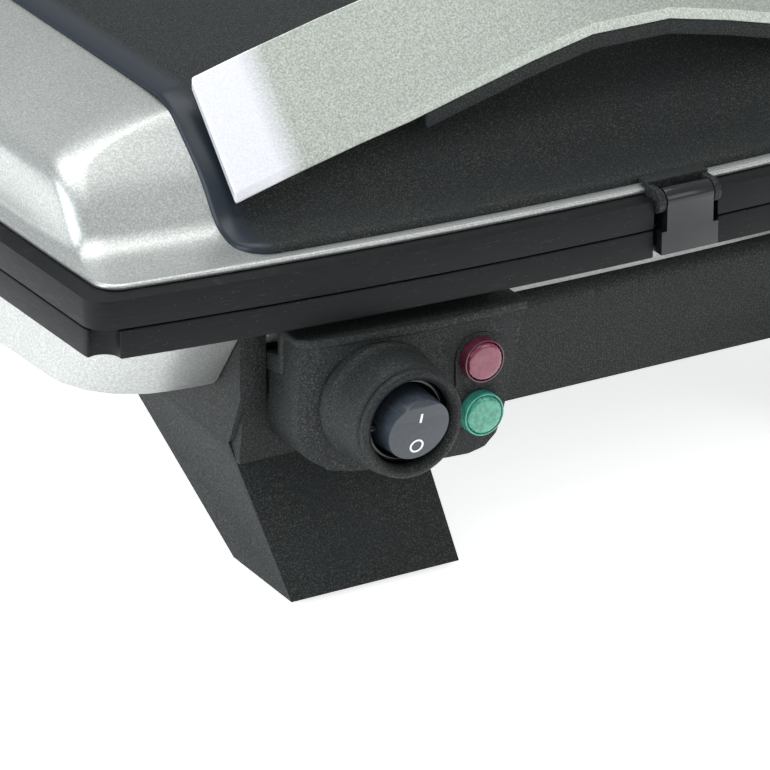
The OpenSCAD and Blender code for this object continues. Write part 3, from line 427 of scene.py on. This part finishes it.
def outline(front_in, side_in, rear_in, front_r, rear_r, fronts=40, sides=14, arcs=12):
    """Right half of the plates' outline from the front middle, then its mirror image."""
    corner_x = side_at(front_at(HALF_W, 0), side_in)
    corner = Vector((corner_x, front_at(corner_x, front_in)))
    rear = Vector((side_at(REAR_Y, side_in), REAR_Y - rear_in))
    reach = corner_x - front_r
    front = [Vector((reach * i / fronts, front_at(reach * i / fronts, front_in))) for i in range(fronts)]
    side = []
    for i in range(1, sides):
        y = corner.y + front_r + (rear.y - rear_r - corner.y - front_r) * i / sides
        side.append(Vector((side_at(y, side_in), y)))
    near = round_corner(front[-1], corner, side[0], front_r, arcs)
    far = round_corner(side[-1], rear, Vector((0, rear.y)), rear_r, arcs)
    back = [Vector((far[-1].x * (1 - i / fronts), rear.y)) for i in range(1, fronts)]
    right = front + near + side + far + back
    return right + [Vector((0, rear.y))] + [Vector((-p.x, p.y)) for p in reversed(right[1:])]


def rounded_profile(levels, passes=3):
    """Cuts the corners of a run of levels again and again, and keeps its two ends."""
    for _ in range(passes):
        cut = [levels[0]]
        for a, b in zip(levels, levels[1:]):
            cut.append(tuple(u * 0.75 + v * 0.25 for u, v in zip(a, b)))
            cut.append(tuple(u * 0.25 + v * 0.75 for u, v in zip(a, b)))
        levels = cut + [levels[-1]]
    return levels


def bridge_rows(bm, a, b):
    for i in range(len(a)):
        j = (i + 1) % len(a)
        bm.faces.new((a[i], a[j], b[j], b[i]))


def bridge_rings(bm, rings, closed):
    """Faces between each ring of places and the next, and from the last to the first when closed."""
    rows = [[bm.verts.new(p) for p in ring] for ring in rings]
    pairs = list(zip(rows, rows[1:]))
    if closed:
        pairs.append((rows[-1], rows[0]))
    for a, b in pairs:
        bridge_rows(bm, a, b)
    return rows


def lid_ring(level, wall, lift=0.0):
    front, side, height = level
    points = outline(LID_INSET + (front + wall) * MM, LID_INSET + (side + wall) * MM,
                     LID_INSET + (front * REAR_SHARE + wall) * MM, (CORNER_R + side / 4) * MM,
                     REAR_CORNER_R * MM)
    return [Vector((p.x, p.y, LID_LOW.z + height * LID_H - lift)) for p in points]


def lid_shell():
    """Pressed cover: a rolled lip, a low step, then a slope that curves over into a flat top."""
    levels = LIP_LEVELS + rounded_profile(LID_LEVELS)
    rings = [lid_ring(level, 0) for level in levels]
    drop = LID_WALL * MM
    inner = [lid_ring(level, LID_WALL, drop * min(1, i / WALL_STEPS)) for i, level in enumerate(levels)]
    bm = bmesh.new()
    outer_rows = bridge_rings(bm, rings, False)
    inner_rows = bridge_rings(bm, inner, False)
    bridge_rows(bm, outer_rows[0], inner_rows[0])
    for row in (outer_rows[-1], inner_rows[-1]):
        cap = bm.faces.new(row)
        bmesh.ops.inset_region(bm, faces=[cap], thickness=CAP_INSET * MM, depth=0)
    add_piece("lid_cover", bm, FINISHES["silver_paint"], "lid", ("lid_shell",), 40)


PANEL_HALF = 122.0
PANEL_SIDE_ROLL = 7.0
PANEL_END_ROLL = 2.6
PANEL_CORNER = 9.0
PANEL_T = 2.0
PANEL_REAR = 159.5
PANEL_LENGTH = 190
# gap under the panel, and the height of its rolled edge above the lid
PANEL_GAP = 0.02
PANEL_EDGE = 0.12


def panel_path(x):
    """Places up the lid's front slope and back over its flat top, at one station."""
    path = [Vector((x, front_at(x, LID_INSET + front * MM), LID_LOW.z + height * LID_H))
            for front, side, height in rounded_profile(LID_LEVELS)]
    path.append(Vector((x, FRONT_Y + PANEL_REAR * MM, LID_HIGH.z)))
    return path


def along(path, distance):
    """Point and outward direction at a distance along a path."""
    for a, b in zip(path, path[1:]):
        step = (b - a).length
        if distance <= step or b is path[-1]:
            run = (b - a).normalized()
            return a + run * distance, Vector((0, -run.z, run.y))
        distance -= step


def roll(distance, width):
    share = max(0.0, min(1.0, distance / width))
    return math.sqrt(max(0.0, 1 - (1 - share) ** 2))


def spread(count, edge, inner, length):
    """Distances from 0 to length, close together within edge of both ends."""
    first = [edge * (i / inner) ** 1.4 for i in range(inner)]
    middle = [edge + (length - 2 * edge) * i / count for i in range(count + 1)]
    return first + middle + [length - d for d in reversed(first)]


def panel_rows(x):
    """The panel's upper and lower places at one station."""
    path = panel_path(x)
    length = sum((b - a).length for a, b in zip(path, path[1:])) / MM
    side = PANEL_HALF - abs(x / MM)
    trim = 0.0
    if side < PANEL_CORNER:
        trim = PANEL_CORNER - math.sqrt(PANEL_CORNER ** 2 - (PANEL_CORNER - side) ** 2)
    length -= trim
    upper = []
    lower = []
    for share in [d / PANEL_LENGTH for d in spread(110, 5, 8, PANEL_LENGTH)]:
        place, out = along(path, (trim + length * share) * MM)
        lift = PANEL_T * roll(side, PANEL_SIDE_ROLL)
        lift *= roll(length * share, PANEL_END_ROLL) * roll(length * (1 - share), PANEL_END_ROLL)
        upper.append(place + out * (lift + PANEL_EDGE) * MM)
        lower.append(place + out * PANEL_GAP * MM)
    return upper, lower


def lid_panel():
    """Moulded cover over the lid's front slope: its sides roll down, and its lower corners are round."""
    bm = bmesh.new()
    rows = []
    for across in spread(60, 10, 12, 2 * PANEL_HALF):
        upper, lower = panel_rows((across - PANEL_HALF) * MM)
        rows.append([bm.verts.new(p) for p in upper + lower[::-1]])
    for a, b in zip(rows, rows[1:]):
        bridge_rows(bm, a, b)
    last = len(rows[0]) - 1
    for row in (rows[0], rows[-1]):
        for i in range(last // 2):
            bm.faces.new((row[i], row[i + 1], row[last - i - 1], row[last - i]))
    add_piece("lid_front_panel", bm, panel_finish(), "lid", ("lid_panel",), 60)


# ---- handle ----

def handle():
    """Folded metal cover: its long edges are rounded, and its folds stay crisp."""
    bm = node_mesh("handle_cover")
    round_edges(bm, 60, 0.55)
    add_piece("handle_metal", bm, handle_paint_and_highlight(), "lid", ("handle_cover",), 8)


# ---- switch ----

def lathe(bm, centre, profile, segments):
    """Turns a profile of (radius, depth) in millimetres about the line that runs back."""
    rings = []
    for radius, back in profile:
        ring = []
        for i in range(segments):
            angle = 2 * math.pi * i / segments
            ring.append(centre + MM * Vector((radius * math.sin(angle), back, radius * math.cos(angle))))
        rings.append(ring)
    return bridge_rings(bm, rings, True)


def ring_piece(name, centre, profile, segments, finish, nodes=(), sharp=45):
    """A closed profile turned into a ring that rides on the base."""
    bm = bmesh.new()
    lathe(bm, centre, profile, segments)
    add_piece(name, bm, finish, "base", nodes, sharp)


def middle(node, y):
    low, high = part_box(node)
    return Vector(((low.x + high.x) / 2, y, (low.z + high.z) / 2))


ROCKER_GAP = 0.6


def switch_bezel():
    low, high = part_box("switch_bezel")
    centre = middle("switch_bezel", low.y)
    outer = (high.x - low.x) / 2 / MM
    bore = (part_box("rocker")[1].x - centre.x) / MM + ROCKER_GAP
    depth = (high.y - low.y) / MM
    profile = [(bore, depth), (bore, 3.4), (bore + 0.25, 2.7), (bore + 0.5, 2.5), (outer - 0.5, 2.5),
               (outer - 0.1, 2.7), (outer, 3.2), (outer, depth)]
    ring_piece("bezel_ring", centre, profile, 96, FINISHES["smooth_black_plastic"],
               ("switch_bezel",), 35)


def rocker():
    """Button with a hollowed face: its top stands out, and its two marks lie on the face."""
    bm = node_mesh("rocker")
    round_edges(bm, 25, 0.45)
    add_piece("rocker_button", bm, slate_gloss(), "rocker", ("rocker",), 25)
    front = middle("rocker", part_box("rocker")[0].y)
    marks = bmesh.new()
    bmesh.ops.create_cube(marks, size=1)
    line = Matrix.Diagonal((0.55 * MM, 0.5 * MM, 2.9 * MM, 1))
    marks.transform(on_face(front, 1.32, 3.6, 18) @ line)
    ring = bmesh.new()
    lathe(ring, Vector((0, -0.15 * MM, 0)), [(2.0, 0.0), (2.0, 0.3), (1.5, 0.3), (1.5, 0.0)], 40)
    ring.transform(on_face(front, 3.62, -5.0, 14.7))
    spare = bpy.data.meshes.new("ring_mark")
    ring.to_mesh(spare)
    ring.free()
    marks.from_mesh(spare)
    bpy.data.meshes.remove(spare)
    add_piece("rocker_marks", marks, white_print(), "rocker", (), 35)


def on_face(front, back, up, lean):
    """Place behind and above the rocker's front, leaning forward by some degrees."""
    place = front + Vector((0, back, up)) * MM
    return Matrix.Translation(place) @ Matrix.Rotation(math.radians(lean), 4, "X")


def control_box():
    """The box without its sleeve, which is made below."""
    bm = node_mesh("control_box")
    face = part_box("lower_plate")[0].y - 1.0 * MM
    bmesh.ops.bisect_plane(bm, geom=bm.verts[:] + bm.edges[:] + bm.faces[:], plane_co=(0, face, 0),
                           plane_no=(0, -1, 0), clear_outer=True)
    round_edges(bm, EDGE_ANGLE, 0.5)
    add_piece("box_body", bm, FINISHES["textured_black_plastic"], "base",
              ("control_box",), 30)


def collar():
    """Bulging sleeve around the switch, with a separate ring let into its end."""
    centre = middle("switch_bezel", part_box("control_box")[0].y)
    sleeve = [(14.0, 2.9), (14.35, 2.6), (14.9, 3.0), (15.35, 4.2), (15.65, 6.5), (15.75, 9.5),
              (15.7, 13.0), (15.75, 14.6), (16.1, 15.1), (16.3, 15.3), (16.5, 15.6), (16.6, 16.2),
              (16.6, 18.5), (14.0, 18.5)]
    end = [(11.6, 3.2), (11.6, 1.7), (11.9, 1.1), (12.9, 0.15), (13.3, 0.0), (14.1, 0.1), (14.6, 0.6),
           (14.75, 1.3), (14.7, 2.0), (14.3, 2.35), (13.9, 3.2)]
    for name, profile in (("collar_sleeve", sleeve), ("collar_ring", end)):
        ring_piece(name, centre, profile, 120, FINISHES["textured_black_plastic"])


# ---- lamps ----

LAMP_SEGMENTS = 72
FLUTES = 24
FLUTE_DEPTH = 0.012
FLUTES_FROM = 2


def lamp(node, name, finish, rim_finish):
    """Clear cap with fine flutes, standing in a rim."""
    low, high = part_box(node)
    centre = middle(node, low.y)
    radius = (high.x - low.x) / 2 / MM
    depth = (high.y - low.y) / MM
    face = radius - 0.75
    cap = [(0.05, 0.25), (1.5, 0.05), (face - 1.4, 0.05), (face - 0.5, 0.2), (face, 0.75), (face, depth)]
    rings = []
    for r, back in cap:
        ring = []
        for i in range(LAMP_SEGMENTS):
            angle = 2 * math.pi * i / LAMP_SEGMENTS
            wide = r * (1 + (FLUTE_DEPTH * math.cos(FLUTES * angle) if r > FLUTES_FROM else 0))
            ring.append(centre + MM * Vector((wide * math.sin(angle), back, wide * math.cos(angle))))
        rings.append(ring)
    bm = bmesh.new()
    rows = bridge_rings(bm, rings, False)
    bm.faces.new(rows[0])
    bm.faces.new(rows[-1])
    add_piece(name, bm, finish, "base", (node,), 50)
    profile = [(face + 0.1, depth), (face + 0.1, 0.9), (face + 0.3, 0.55), (radius - 0.15, 0.65),
               (radius, 1.1), (radius, 3.5), (face + 0.4, 3.5), (face + 0.4, depth)]
    ring_piece(name + "_rim", centre, profile, LAMP_SEGMENTS, rim_finish, (), 40)


# ---- latch ----

def latch():
    """Pivoting catch: a rounded barrel above, a slot, and a glossy plate below."""
    bm = node_mesh("latch")
    round_edges(bm, 40, 0.6)
    add_piece("latch_catch_plate", bm, FINISHES["smooth_black_plastic"], "latch",
              ("latch",), 30)


# ---- studio ----

def look(obj, at):
    obj.rotation_mode = "QUATERNION"
    obj.rotation_quaternion = (Vector(at) - obj.location).to_track_quat("-Z", "Y")


def soft_light(name, at, aim, size, power, colour=(1, 1, 1)):
    data = bpy.data.lights.new(name, "AREA")
    data.shape = "SQUARE"
    data.size = size
    data.energy = power
    data.color = colour
    light = bpy.data.objects.new(name, data)
    light.location = at
    bpy.context.scene.collection.objects.link(light)
    look(light, aim)


def studio():
    floor = bpy.data.meshes.new("floor")
    bm = bmesh.new()
    bmesh.ops.create_grid(bm, x_segments=1, y_segments=1, size=6)
    bm.to_mesh(floor)
    bm.free()
    stand = bpy.data.objects.new("floor", floor)
    bpy.context.scene.collection.objects.link(stand)
    f = Finish("pale_floor")
    cloud = f.noise(2, 2, 0.5)
    f.shader.inputs["Emission Color"].default_value = (1, 1, 1, 1)
    f.shader.inputs["Emission Strength"].default_value = 0.75
    floor.materials.append(f.set(colour=f.ramp(cloud, [(0.3, 0.86), (0.7, 0.90)]), roughness=0.9))

    world = bpy.data.worlds.new("white_room")
    world.use_nodes = True
    world.node_tree.nodes["Background"].inputs["Color"].default_value = (0.94, 0.97, 1.0, 1)
    world.node_tree.nodes["Background"].inputs["Strength"].default_value = 0.62
    bpy.context.scene.world = world
    centre = Vector((0, 0, 0.08))
    soft_light("top_light", (-0.2, 0.1, 1.5), centre, 1.3, 16)
    soft_light("left_light", (-1.5, -0.1, 0.6), centre, 0.9, 14, (0.86, 0.93, 1.0))
    soft_light("front_light", (0.7, -1.6, 0.9), centre, 0.8, 4)
    bpy.context.scene.view_settings.view_transform = "Standard"


def camera():
    """A long lens from the front left, well above, close in on the switch side."""
    azimuth, elevation, distance = math.radians(-30), math.radians(24), 1.5
    back = Vector((math.sin(azimuth) * math.cos(elevation), -math.cos(azimuth) * math.cos(elevation),
                   math.sin(elevation)))
    plate_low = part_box("lower_plate")[0]
    corner = Vector((plate_low.x + 10 * MM, plate_low.y + 12.5 * MM, plate_low.z + 8 * MM))
    aim = corner + Vector((55.5, -35.3, -6.4)) * MM
    data = bpy.data.cameras.new("camera")
    data.lens = 280.5
    data.sensor_width = 36
    data.clip_end = 50
    eye = bpy.data.objects.new("camera", data)
    eye.location = aim + back * distance
    bpy.context.scene.collection.objects.link(eye)
    look(eye, aim)
    bpy.context.scene.camera = eye
    return eye


dress_nodes()
soften_nodes()
lid_shell()
lid_panel()
handle()
switch_bezel()
control_box()
collar()
rocker()
lamp("red_lamp_lens", "red_cap", FINISHES["red_lens"],
     lamp_rim("red_rim", (0.05, 0.008, 0.016), (0.09, 0.014, 0.03)))
lamp("green_lamp_lens", "green_cap", FINISHES["green_lens"],
     lamp_rim("green_rim", (0.03, 0.24, 0.18), (0.08, 0.42, 0.32)))
latch()
studio()
camera()
